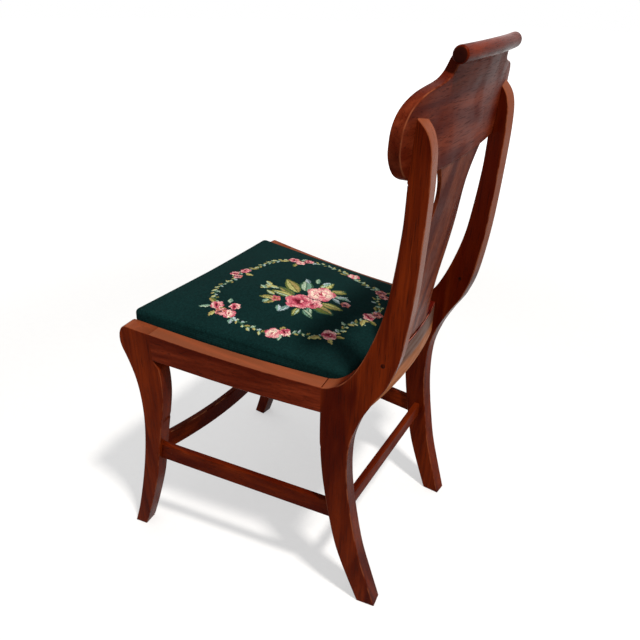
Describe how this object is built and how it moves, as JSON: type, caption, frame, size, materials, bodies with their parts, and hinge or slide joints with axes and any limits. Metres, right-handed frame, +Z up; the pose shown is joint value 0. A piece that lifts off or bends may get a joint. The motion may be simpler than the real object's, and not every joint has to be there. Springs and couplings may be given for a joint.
{
  "type": "side chair",
  "caption": "Armless empire-style wooden side chair with sabre legs, a bowed rolled crest rail, vase splat, box stretchers and a lift-out upholstered seat.",
  "frame": {"origin": "on the floor, at the middle of the chair's footprint box", "axes": "+Z up, the chair faces -Y, +X is the sitter's left"},
  "size_m": [0.44, 0.5143, 0.845],
  "materials": {
    "mahogany": "gloss",
    "dark_wood": "satin",
    "pale_wood": "matte",
    "needlepoint": "matte",
    "linen": "matte",
    "black_cloth": "matte",
    "steel": "satin"
  },
  "bodies": {
    "chair_frame": {"front_leg_left": "mahogany", "front_leg_right": "mahogany", "rear_post_left": "mahogany", "rear_post_right": "mahogany", "side_rail_left": "mahogany", "side_rail_right": "mahogany", "front_rail": "mahogany", "rear_rail": "mahogany", "splat_shoe": "mahogany", "crest_rail": "mahogany", "crest_roll": "mahogany", "splat": "mahogany", "front_stretcher": "mahogany", "rear_stretcher": "mahogany", "side_stretcher_left": "mahogany", "side_stretcher_right": "mahogany", "side_rail_dowels": "pale_wood", "cross_rail_dowels": "pale_wood", "crest_dowels": "pale_wood", "post_peg_left": "dark_wood", "post_peg_right": "dark_wood", "corner_block_front_left": "pale_wood", "corner_block_front_right": "pale_wood", "corner_block_rear_left": "pale_wood", "corner_block_rear_right": "pale_wood", "corner_block_screws": "steel", "seat_cleat_left": "pale_wood", "seat_cleat_right": "pale_wood", "cleat_screws": "steel"},
    "slip_seat": {"seat_frame_front": "pale_wood", "seat_frame_back": "pale_wood", "seat_frame_left": "pale_wood", "seat_frame_right": "pale_wood", "seat_webbing_along": "linen", "seat_webbing_across": "linen", "seat_hessian": "linen", "seat_pad": "linen", "seat_cover": "needlepoint", "seat_dust_cover": "black_cloth", "seat_tacks": "steel"}
  },
  "joints": [
    {"name": "seat_lift", "type": "slide", "parent": "chair_frame", "child": "slip_seat", "axis": [0, 0, 1], "range_m": [0, 0.12]}
  ]
}
